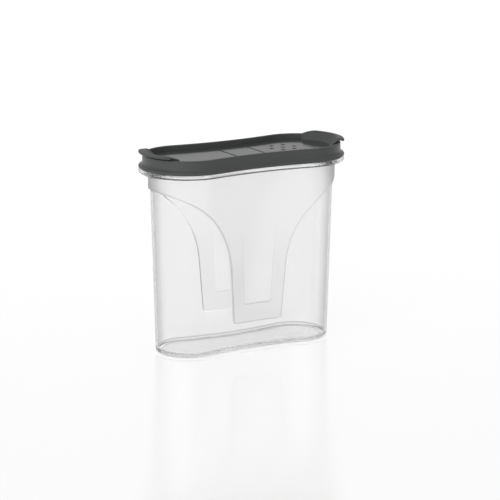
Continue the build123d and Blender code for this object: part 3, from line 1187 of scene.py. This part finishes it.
@dataclass
class Flap:
    """What both flaps share, worked out for +X: plate, hinge barrel with its stubs, and lifting tab."""

    rim: RimSizes
    hinge: HingeSizes
    end: End
    plate_low: float = 105.3
    plate_high: float = 106.5
    plate_outset: float = -2.0
    notch_end: float = 12.885
    edge_round: float = 0.3
    corner: float = 0.5
    barrel_drop: float = 0.02
    rim_top: float = 109.1
    tab_half_angle: float = 51.0
    tab_end_round: float = 7.5
    tab_width_outset: float = 1.025
    crest_outset: float = -1.5
    crest_height: float = 2.15
    tip_outset: float = 2.05
    tip_top: float = 1.6
    tip_bottom: float = 0.8
    tip_width: float = 0.8
    hollow_height: float = 1.25
    hollow_outset: float = -1.6
    rim_gap: float = 0.8
    root_outset: float = -2.1
    root_bottom: float = -3.1
    cove_width: float = 4.3
    cove_sag: float = 0.5
    tab_rounds: tuple[float, ...] = (0.5, 0.5, 0.6, 0.25, 0.3, 0.55)
    tab_steps: int = 64
    sunk_in: float = 0.02
    over_crest: float = 0.01
    block_round: float = 0.1
    over_tab: float = 5.0

    def plate_loop(self) -> np.ndarray:
        """Work out the plate's outline, with the narrow part at the hinge and its corners rounded."""
        edge = lobe_part(self.rim.outline(), self.plate_outset, self.notch_end)
        tongue = self.hinge.x - self.hinge.barrel_radius
        half = self.hinge.barrel_half
        corners = np.array([[self.notch_end, half], [tongue, half], [tongue, -half], [self.notch_end, -half]])
        radii = [self.corner, *[0.0] * (len(edge) - 2), *[self.corner] * 5]
        return rounded_corners(np.concatenate([edge, corners]), radii)

    def tab_section(self) -> np.ndarray:
        """Work out the tab's closed section: radius from the lobe's middle and height above the rim.

        The cove on its inner side is an arc from the plate up to the crest, hollow by cove_sag.
        """
        lobe = self.rim.lobe_radius
        crest = np.array([lobe + self.crest_outset, self.crest_height])
        foot = np.array([crest[0] - self.cove_width, self.plate_high - self.rim_top - self.sunk_in])
        chord = crest - foot
        reach = np.linalg.norm(chord)
        radius = (reach**2 / 4 + self.cove_sag**2) / (2 * self.cove_sag)
        lean = math.asin(reach / 2 / radius)
        turn = math.atan2(chord[1], chord[0]) - lean
        cove = tangent_arc(foot, np.array([math.cos(turn), math.sin(turn)]), crest, 14)
        root = lobe + self.root_outset
        tip = lobe + self.tip_outset
        corners = np.array(
            [
                [root, 0.0],
                [lobe + self.hollow_outset, self.rim_gap],
                [lobe, self.hollow_height],
                [tip - self.tip_width, self.tip_bottom],
                [tip, self.tip_bottom],
                [tip, self.tip_top],
                cove[-1],
                *cove[-2:0:-1],
                cove[0],
                [foot[0], self.root_bottom],
                [root, self.root_bottom],
            ]
        )
        sharp = [0.0] * (len(corners) - len(self.tab_rounds))
        return rounded_corners(corners, [*self.tab_rounds, *sharp], 5)

    def tab(self) -> bpy.types.Object:
        """Build the tab: its section turned about the lobe's middle, cut by a wide rounded end view."""
        section = self.tab_section()
        angle = np.radians(np.linspace(self.tab_half_angle, -self.tab_half_angle, self.tab_steps))
        lobe_x = self.rim.half_length - self.rim.lobe_radius
        flat = section[None, :, :1] * directions(angle)[:, None]
        height = np.broadcast_to(section[None, :, 1:] + self.rim_top, (*flat.shape[:2], 1))
        grid = np.concatenate([flat + (lobe_x, 0), height], axis=2)
        shell = Shell()
        shell.add_grid(grid)
        points, triangles = net([section])
        triangles = triangles[inside(points[triangles].mean(axis=1), section)]
        for row, faces in ((grid[0], triangles[:, ::-1]), (grid[-1], triangles)):
            shell.add(row, np.zeros_like(row), faces)
        tab = shell.to_object("tab", end=self.end)
        half = (self.rim.lobe_radius + self.tab_width_outset) * math.sin(math.radians(self.tab_half_angle))
        top = self.rim_top + self.crest_height + self.over_crest
        low = self.rim_top + self.root_bottom - self.tab_end_round
        corners = np.array([[-half, low], [half, low], [half, top], [-half, top]])
        end_view = rounded_corners(corners, [0.0, 0.0, self.tab_end_round, self.tab_end_round], 12)
        block = Shell()
        reach = (lobe_x - 2 * self.cove_width, lobe_x + self.rim.half_length)
        block.add_plate(end_view, *reach, self.block_round)
        turned = Shell()
        turned.absorb(block, (2, 0, 1), (0, 0, 0))
        return combine(tab, turned.to_object("tab_end_view", end=self.end), Joining.COMMON)

    def blank(self, name: str) -> bpy.types.Object:
        """Build the plate with its barrel, stubs and tab.

        Args:
            name: name of the piece.

        Returns:
            The joined piece.
        """
        shell = Shell()
        shell.add_plate(self.plate_loop(), self.plate_low, self.plate_high, self.edge_round)
        piece = shell.to_object(name, end=self.end)
        barrel = Shell()
        radius = self.hinge.barrel_radius - self.barrel_drop
        half = self.hinge.barrel_half - self.barrel_drop
        barrel.add_rod("Y", (self.hinge.x, self.hinge.z - self.barrel_drop), radius, -half, half)
        combine(piece, barrel.to_object("barrel", end=self.end), Joining.UNION)
        stubs = Shell()
        reach = self.hinge.stub_end
        stubs.add_rod("Y", (self.hinge.x, self.hinge.z), self.hinge.stub_radius, -reach, reach)
        combine(piece, stubs.to_object("stubs", end=self.end), Joining.UNION)
        return combine(piece, self.tab(), Joining.UNION)

    def tab_span(self) -> tuple[float, float]:
        """Give the heights between which faces belong to the tab and not to the plate."""
        return self.plate_high + self.sunk_in, self.rim_top + self.over_tab


@dataclass
class PourFlap(Flap):
    """Flap over the pour mouth, with a ring under it that plugs the mouth."""

    mouth: MouthSizes = field(kw_only=True)
    plug_inset: float = 0.5
    plug_wall: float = 1.2
    plug_bottom: float = 103.2
    plug_round: float = 0.25

    def build(self) -> bpy.types.Object:
        """Build the flap and join the plug ring to it."""
        flap = self.blank("pour_flap_moulding")
        loop = self.mouth.loop(self.plug_inset)
        fine = self.plug_round
        middle = (self.plate_low + self.plate_high) / 2
        ring = np.concatenate(
            [
                fillet(0, self.plug_bottom, -fine, 90, 0),
                [[0, middle], [self.plug_wall, middle]],
                fillet(self.plug_wall, self.plug_bottom, -fine, 180, 90),
            ]
        )
        plug = Shell()
        plug.add_along(loop, ring, closed_rows=True)
        combine(flap, plug.to_object("plug", end=self.end), Joining.UNION)
        smooth(flap)
        return flap


@dataclass
class SprinkleFlap(Flap):
    """Flap over the sprinkle holes, with a pin under it for each and a dimple over each."""

    sprinkle: SprinkleSizes = field(kw_only=True)
    pin_radius: float = 1.05
    pin_bottom: float = 103.8
    pin_overlap: float = 0.4
    dimple_radius: float = 1.2
    dimple_depth: float = 0.4
    dimple_round: float = 0.15
    dimple_steps: int = 40

    def build(self) -> bpy.types.Object:
        """Build the flap, join the pins to it and sink the dimples."""
        flap = self.blank("sprinkle_flap_moulding")
        pins = Shell()
        cups = Shell()
        fine = self.dimple_round
        for middle in self.sprinkle.centres():
            high = self.plate_low + self.pin_overlap
            pins.add_rod("Z", tuple(middle), self.pin_radius, self.pin_bottom, high)
            cup = np.concatenate(
                [
                    fillet(0, self.plate_high - self.dimple_depth, -fine, 90, 0),
                    fillet(0, self.plate_high, fine, 0, 90),
                    [[-fine, self.plate_high + 1]],
                ]
            )
            loop = circle(tuple(middle), self.dimple_radius, self.dimple_steps)
            cups.add_along(loop, cup)
            cups.add_flat([moved_in(loop, cup[0, 0])], cup[0, 1], False)
            cups.add_flat([moved_in(loop, cup[-1, 0])], cup[-1, 1], True)
        combine(flap, pins.to_object("pins", end=self.end), Joining.UNION)
        combine(flap, cups.to_object("dimples", end=self.end), Joining.CUT)
        smooth(flap)
        return flap


Feed = float | tuple[float, ...] | list[float] | bpy.types.NodeSocket
Feeds = dict[str | int, Feed]


class NodeKit:
    """Adds nodes to the tree of a material or world, each fed by values or by the sockets of others."""

    def __init__(self, holder: bpy.types.Material | bpy.types.World) -> None:
        """Turn on the nodes of the material or world."""
        holder.use_nodes = True
        self.nodes = holder.node_tree.nodes
        self.links = holder.node_tree.links

    def feed(self, node: bpy.types.Node, feeds: Feeds) -> None:
        """Link or set a node's sockets.

        Args:
            node: node that is fed.
            feeds: value or other socket for each socket, by its name or number.
        """
        for key, value in feeds.items():
            if isinstance(value, bpy.types.NodeSocket):
                self.links.new(value, node.inputs[key])
            else:
                node.inputs[key].default_value = value

    def add(self, kind: str, feeds: Feeds | None = None, **settings: object) -> bpy.types.Node:
        """Add a node.

        Args:
            kind: its type, without the leading ShaderNode.
            feeds: what its sockets take.
            settings: its other properties.

        Returns:
            The new node.
        """
        node = self.nodes.new("ShaderNode" + kind)
        for key, value in settings.items():
            setattr(node, key, value)
        self.feed(node, feeds or {})
        return node

    def ramp(
        self, value: Feed, start: float = 0.0, end: float = 1.0, low: Feed = 0.0, high: Feed = 1.0
    ) -> bpy.types.NodeSocket:
        """Give low where the value is at most start, high where it is at least end, and a mix between."""
        feeds = {"Value": value, "From Min": start, "From Max": end, "To Min": low, "To Max": high}
        return self.add("MapRange", feeds).outputs["Result"]

    def maths(
        self, operation: str, first: Feed, second: Feed = 0.0, clamp: bool = False
    ) -> bpy.types.NodeSocket:
        """Work out one or two values, kept between 0 and 1 on request."""
        return self.add("Math", {0: first, 1: second}, operation=operation, use_clamp=clamp).outputs[0]

    def mix(self, start: Feed, goal: Feed, factor: bpy.types.NodeSocket) -> bpy.types.NodeSocket:
        """Mix a colour, or the socket that gives one, towards another by a factor."""
        if not isinstance(start, bpy.types.NodeSocket):
            start = (*start, 1)
        feeds = {"A": start, "B": (*goal, 1), "Factor": factor}
        return self.add("Mix", feeds, data_type="RGBA").outputs["Result"]

    def noise(self, vector: bpy.types.NodeSocket, scale: float, detail: float) -> bpy.types.NodeSocket:
        """Give a cloudy pattern between 0 and 1."""
        return self.add("TexNoise", {"Vector": vector, "Scale": scale, "Detail": detail}).outputs["Fac"]

    def height(self, vector: bpy.types.NodeSocket) -> bpy.types.NodeSocket:
        """Give the Z part of a vector."""
        return self.add("SeparateXYZ", {0: vector}).outputs["Z"]


def grey(level: float) -> tuple[float, float, float]:
    """Give a neutral colour."""
    return (level, level, level)


@dataclass(frozen=True)
class ClearPlastic:
    """Slightly hazy moulded plastic, with finely frosted raised panels, painted shade as thin grey lines at
    their edges, and painted shade where surfaces turn from the viewer.
    """

    name: str = "clear_plastic"
    tint: tuple[float, float, float] = grey(0.99)
    lifted_tint: tuple[float, float, float] = grey(1.0)
    frosted_tint: tuple[float, float, float] = grey(0.89)
    # Painted shade where the raised panels turn from the viewer
    band_shade_tint: tuple[float, float, float] = grey(0.68)
    # Painted shade where upright surfaces turn edge-on to the viewer
    edge_shade_tint: tuple[float, float, float] = grey(0.33)
    # Painted shade lines along step edges, the flange, the floor and the foot
    shade_line_tint: tuple[float, float, float] = grey(0.50)
    clear_roughness: float = 0.03
    frosted_roughness: float = 0.3
    line_roughness: float = 0.4
    refraction: float = 1.45
    gloss: float = 0.2
    transmission: float = 0.95
    facing_blend: float = 0.5
    grazing_start: float = 0.3
    grazing_end: float = 0.95
    upright_end: float = 0.3
    level_start: float = 0.7
    band_start: float = 0.1
    band_end: float = 0.8
    lifted_start: float = 0.3
    frost_full: float = 0.5
    frost_tinted: float = 0.6
    frost_low: float = 0.045
    frost_high: float = 0.07
    frost_left: float = 0.0
    streaks: tuple[float, float, float] = (50.0, 50.0, 3.0)
    streak_detail: float = 2.0
    streak_depth: float = 0.05

    def make(self) -> bpy.types.Material:
        """Make the node material.

        A streaky plain tint goes over, one after the other, to the lifted tint on raised panels, to the
        frosted one low on them, to the band tint's painted shade where they turn from the viewer, to the edge
        tint's painted shade where any upright surface does, and to the line tint's painted shade lines where
        the attribute line says so.

        Returns:
            The new material.
        """
        material = bpy.data.materials.new(self.name)
        kit = NodeKit(material)
        frost = kit.add("Attribute", attribute_name="frost").outputs["Fac"]
        line = kit.add("Attribute", attribute_name="line").outputs["Fac"]
        raised = kit.ramp(frost, start=self.frost_tinted)
        lifted = kit.ramp(frost, self.lifted_start, self.frost_full)
        spread = kit.ramp(frost, end=self.frost_full, low=self.clear_roughness, high=self.frosted_roughness)
        place = kit.add("TexCoord").outputs["Object"]
        fade = kit.ramp(kit.height(place), self.frost_low, self.frost_high, 1.0, self.frost_left)
        stretched = kit.add("Mapping", {"Vector": place, "Scale": self.streaks}).outputs["Vector"]
        facing = kit.add("LayerWeight", {"Blend": self.facing_blend}).outputs["Facing"]
        # Level faces keep the plain tint without the painted edge shade, and the painted shade line shows on
        # the near side only
        surface = kit.add("NewGeometry").outputs
        level = kit.maths("ABSOLUTE", kit.height(surface["Normal"]))
        upright = kit.ramp(level, self.upright_end, self.level_start, 1.0, 0.0)
        grazing = kit.ramp(facing, self.grazing_start, self.grazing_end)
        turned = kit.ramp(facing, self.band_start, self.band_end)
        near = kit.maths("SUBTRACT", line, surface["Backfacing"], clamp=True)
        streaked = [share - self.streak_depth for share in self.tint]
        colour = kit.mix(self.tint, streaked, kit.noise(stretched, 1.0, self.streak_detail))
        # The band, edge and line tints below are painted shade
        for goal, factor in (
            (self.lifted_tint, lifted),
            (self.frosted_tint, kit.maths("MULTIPLY", fade, raised)),
            (self.band_shade_tint, kit.maths("MULTIPLY", turned, raised)),
            (self.edge_shade_tint, kit.maths("MULTIPLY", grazing, upright)),
            (self.shade_line_tint, near),
        ):
            colour = kit.mix(colour, goal, factor)
        shader = {
            "Base Color": colour,
            "Roughness": kit.ramp(line, low=spread, high=self.line_roughness),
            "Transmission Weight": self.transmission,
            "IOR": self.refraction,
            "Specular IOR Level": self.gloss,
        }
        kit.feed(kit.nodes["Principled BSDF"], shader)
        return material


@dataclass(frozen=True)
class DarkPlastic:
    """Dark grey moulded plastic with a fine satin grain."""

    name: str = "dark_plastic"
    colour: tuple[float, float, float] = (0.072, 0.078, 0.076)
    roughness: float = 0.4
    gloss: float = 0.35
    cloud: float = 60.0
    cloud_detail: float = 4.0
    cloud_tint: float = 0.07
    cloud_roughness: float = 0.04
    grain: float = 1600.0
    grain_detail: float = 2.0
    grain_depth: float = 0.00002
    grain_strength: float = 0.5

    def make(self) -> bpy.types.Material:
        """Make the node material: a cloudy colour and roughness, and a fine grain.

        Returns:
            The new material.
        """
        material = bpy.data.materials.new(self.name)
        kit = NodeKit(material)
        place = kit.add("TexCoord").outputs["Object"]
        cloud = kit.noise(place, self.cloud, self.cloud_detail)
        dark = [share * (1 - self.cloud_tint) for share in self.colour]
        light = [share * (1 + self.cloud_tint) for share in self.colour]
        play = self.cloud_roughness
        grain = {
            "Height": kit.noise(place, self.grain, self.grain_detail),
            "Distance": self.grain_depth,
            "Strength": self.grain_strength,
        }
        shader = {
            "Base Color": kit.mix(dark, light, cloud),
            "Roughness": kit.ramp(cloud, low=self.roughness - play, high=self.roughness + play),
            "Specular IOR Level": self.gloss,
            "Normal": kit.add("Bump", grain).outputs["Normal"],
        }
        kit.feed(kit.nodes["Principled BSDF"], shader)
        return material


# Lighter painted edge shade, more roughness and almost no refraction, for the flange and the level floor
# faces
PALE_EDGE_SHADE = ClearPlastic("clear_plastic_edges", edge_shade_tint=grey(0.85), clear_roughness=0.15, refraction=1.06)
# Glossier, darker copy of the dark plastic for the flaps and the bridge: its darker colour is painted shade
# on the up-facing plates
GLOSSY_SHADED_FLAPS = DarkPlastic("dark_plastic_flaps_painted_shade", colour=(0.052, 0.055, 0.054), roughness=0.12, gloss=0.22)
SATIN_TABS = DarkPlastic("dark_plastic_tabs", colour=(0.068, 0.072, 0.071), roughness=0.45)


@dataclass(frozen=True)
class Lamp:
    """Square soft lamp: its place and side in metres and its power in watts."""

    name: str
    spot: tuple[float, float, float]
    size: float
    power: float


@dataclass(frozen=True)
class Studio:
    """White floor and background, soft lamps, and the camera at the photograph's place."""

    azimuth: float = -30.406
    elevation: float = 13.255
    distance: float = 1.397296
    aim_side: float = 0.004214
    aim_height: float = 0.05178
    roll: float = 0.164
    focal_px: float = 2557.291
    image_px: float = 500.0
    sensor: float = 36.0
    floor_size: float = 6.0
    floor_colour: float = 0.14
    floor_glow: float = 0.69
    floor_bounce: float = 0.15
    floor_roughness: float = 0.18
    floor_gloss: float = 1.0
    floor_refraction: float = 2.3
    world_level: float = 0.38
    ceiling_start: float = 0.3
    ceiling_level: float = 0.6
    nearest_seen: float = 0.05
    farthest_seen: float = 50.0
    lamps: tuple[Lamp, ...] = (
        Lamp("top_lamp", (-0.3, -0.2, 1.6), 1.4, 3.5),
        Lamp("front_lamp", (-1.75, -1.05, 0.5), 2.0, 36),
    )

    def camera(self) -> None:
        """Create the camera from its fitted bearing, height angle, distance and focal length."""
        turn = math.radians(self.azimuth)
        rise = math.radians(self.elevation)
        back = Vector((math.sin(turn) * math.cos(rise), -math.cos(turn) * math.cos(rise), math.sin(rise)))
        right = Vector((math.cos(turn), math.sin(turn), 0))
        up = back.cross(right)
        spot = right * self.aim_side + Vector((0, 0, self.aim_height)) + back * self.distance
        tilt = math.radians(self.roll)
        level = right * math.cos(tilt) + up * math.sin(tilt)
        upright = up * math.cos(tilt) - right * math.sin(tilt)
        data = bpy.data.cameras.new("camera")
        data.sensor_width = self.sensor
        data.lens = self.focal_px / self.image_px * self.sensor
        data.clip_start = self.nearest_seen
        data.clip_end = self.farthest_seen
        seer = into_scene("camera", data)
        axes = Matrix((level, upright, back)).transposed()
        seer.matrix_world = Matrix.Translation(spot) @ axes.to_4x4()
        bpy.context.scene.camera = seer

    def seen_directly(self, kit: NodeKit) -> bpy.types.NodeSocket:
        """Give 1 for what the camera sees, straight, mirrored or through clear plastic, and else 0."""
        path = kit.add("LightPath").outputs
        both = kit.maths("MAXIMUM", path["Is Camera Ray"], path["Is Glossy Ray"])
        return kit.maths("MAXIMUM", both, path["Is Transmission Ray"])

    def floor(self) -> None:
        """Make the pale floor: a diffuse share that takes the shadow, and the rest as plain white."""
        half = self.floor_size / 2
        corners = [(-half, -half, 0), (half, -half, 0), (half, half, 0), (-half, half, 0)]
        mesh = bpy.data.meshes.new("floor")
        mesh.from_pydata(corners, [], [(0, 1, 2, 3)])
        material = bpy.data.materials.new("floor_white")
        kit = NodeKit(material)
        shader = kit.nodes["Principled BSDF"]
        finish = {
            "Base Color": (*grey(self.floor_colour), 1),
            "Roughness": self.floor_roughness,
            "IOR": self.floor_refraction,
            "Specular IOR Level": self.floor_gloss,
        }
        kit.feed(shader, finish)
        strength = kit.ramp(self.seen_directly(kit), low=self.floor_bounce, high=self.floor_glow)
        glow = kit.add("Emission", {"Strength": strength})
        both = kit.add("AddShader", {0: shader.outputs[0], 1: glow.outputs[0]})
        kit.feed(kit.nodes["Material Output"], {"Surface": both.outputs[0]})
        mesh.materials.append(material)
        into_scene("floor", mesh)

    def world(self) -> None:
        """Light the room evenly, and show white where the camera sees past the floor.

        Gloss and clear plastic see white at the horizon and a dimmer ceiling above it.
        """
        world = bpy.data.worlds.new("room")
        kit = NodeKit(world)
        rise = kit.height(kit.add("TexCoord").outputs["Generated"])
        ceiling = kit.ramp(rise, end=self.ceiling_start, low=1.0, high=self.ceiling_level)
        shown = kit.maths("MAXIMUM", kit.add("LightPath").outputs["Is Camera Ray"], ceiling)
        level = kit.ramp(self.seen_directly(kit), low=self.world_level, high=shown)
        kit.feed(kit.nodes["Background"], {"Color": (1, 1, 1, 1), "Strength": level})
        bpy.context.scene.world = world

    def light(self, lamp: Lamp) -> None:
        """Add a lamp that faces the jar."""
        data = bpy.data.lights.new(lamp.name, "AREA")
        data.size = lamp.size
        data.energy = lamp.power
        made = into_scene(lamp.name, data)
        aim = Vector((0, 0, self.aim_height)) - Vector(lamp.spot)
        # The shiny floor would mirror a lamp towards a camera on the far side
        made.visible_glossy = False
        made.location = lamp.spot
        made.rotation_euler = aim.to_track_quat("-Z", "Y").to_euler()

    def build(self) -> None:
        """Set up the camera, floor, world and lamps."""
        self.camera()
        self.floor()
        self.world()
        for lamp in self.lamps:
            self.light(lamp)
        bpy.context.scene.view_settings.view_transform = "Standard"


def dress(
    piece: bpy.types.Object,
    material: bpy.types.Material,
    slot: Slot,
    other: bpy.types.Material | None = None,
    *spans: tuple[float, float],
) -> None:
    """Give a piece its finish, with another finish between some heights.

    Args:
        piece: object to dress.
        material: its finish.
        slot: the slot that the finish stands for; not used.
        other: finish of the faces whose middles lie in one of the spans.
        spans: lowest and highest middle in millimetres.
    """
    piece.data.materials.clear()
    piece.data.materials.append(material)
    if other is not None:
        piece.data.materials.append(other)
        middles = np.empty(3 * len(piece.data.polygons), dtype=np.float32)
        piece.data.polygons.foreach_get("center", middles)
        height = middles[2::3] / MM
        chosen = sum((height > low) & (height < high) for low, high in spans)
        piece.data.polygons.foreach_set("material_index", chosen.astype(np.int32))


def place(piece: bpy.types.Object, body: Body, *nodes: str) -> None:
    """Let a piece ride on a body in place of the CAD nodes that it stands for, and report it.

    Args:
        piece: finished object.
        body: body that carries it.
        nodes: CAD nodes that it replaces.
    """
    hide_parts(*nodes)
    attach(piece, body.value)
    LOG.info("%s: %d faces on %s", piece.name, len(piece.data.polygons), body.value)


def main() -> None:
    """Build every piece round the frame, then the studio."""
    logging.basicConfig(level=logging.INFO, format="%(name)s: %(message)s")
    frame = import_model()
    rim = RimSizes()
    hinge = HingeSizes()
    mouth = MouthSizes(rim)
    sprinkle = SprinkleSizes()
    jar_sizes = Jar(rim)
    jar = jar_sizes.build()
    dress(jar, ClearPlastic().make(), Slot.CLEAR, PALE_EDGE_SHADE.make(), *jar_sizes.pale_spans())
    place(jar, Body.JAR, "jar_body")
    lid = LidFrame(rim, hinge, mouth, sprinkle).build()
    dress(lid, DarkPlastic().make(), Slot.DARK)
    place(lid, Body.LID, "lid_frame")
    glossy = GLOSSY_SHADED_FLAPS.make()
    satin = SATIN_TABS.make()
    bridge = HingeBridge(rim, hinge).build()
    dress(bridge, glossy, Slot.DARK)
    place(bridge, Body.LID, "hinge_bridge")
    for flap, body, node in (
        (PourFlap(rim, hinge, End.POUR, mouth=mouth), Body.POUR_FLAP, "pour_flap"),
        (SprinkleFlap(rim, hinge, End.SPRINKLE, sprinkle=sprinkle), Body.SPRINKLE_FLAP, "sprinkle_flap"),
    ):
        piece = flap.build()
        dress(piece, glossy, Slot.DARK, satin, flap.tab_span())
        place(piece, body, node)
    Studio().build()


if __name__ == "__main__":
    main()
